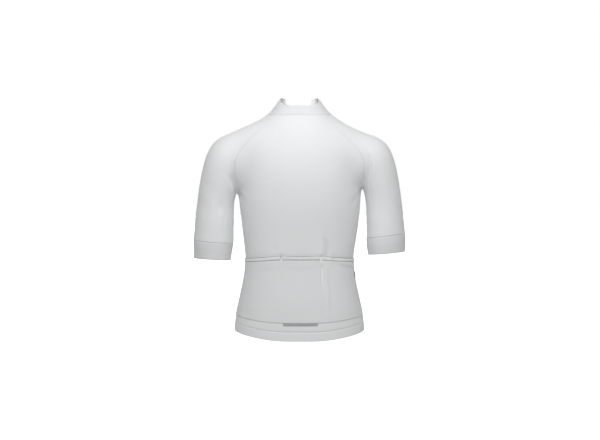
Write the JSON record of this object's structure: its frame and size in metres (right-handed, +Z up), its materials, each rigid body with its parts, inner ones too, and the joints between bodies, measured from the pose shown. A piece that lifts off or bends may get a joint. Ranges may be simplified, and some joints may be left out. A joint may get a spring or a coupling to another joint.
{
  "type": "cycling jersey",
  "caption": "Short-sleeved cycling jersey with raglan sleeves, stand collar, front zip and rear pockets, filled out as worn.",
  "frame": {"origin": "centre of the neck opening, level with the seam between collar and shoulders; the wearer holds the jersey here", "axes": "+Z up, +Y towards the wearer's front, +X towards the wearer's right"},
  "size_m": [0.5878, 0.2366, 0.6573],
  "materials": {
    "knit": "matt",
    "band": "matt",
    "reflective": "satin",
    "tape": "matt",
    "coil": "satin",
    "metal": "satin",
    "label": "matt"
  },
  "bodies": {
    "jersey": {"back_panel": "knit", "front_left": "knit", "front_right": "knit", "sleeve_left": "knit", "sleeve_right": "knit", "cuff_left": "band", "cuff_right": "band", "collar": "band", "hem_band": "band", "pocket_left": "knit", "pocket_centre": "knit", "pocket_right": "knit", "pocket_edge_left": "band", "pocket_edge_centre": "band", "pocket_edge_right": "band", "reflective_strip": "reflective", "side_tab": "label", "zip_tape_left": "tape", "zip_tape_right": "tape", "zip_coil_left": "coil", "zip_coil_right": "coil", "zip_slider": "metal", "zip_box": "coil"},
    "zip_pull": {"zip_pull": "metal"}
  },
  "joints": [
    {"name": "pull_hinge", "type": "hinge", "parent": "jersey", "child": "zip_pull", "pos_m": [0, 0.1024, -0.10044], "axis": [1, 0, 0], "range_deg": [0, 150]}
  ]
}
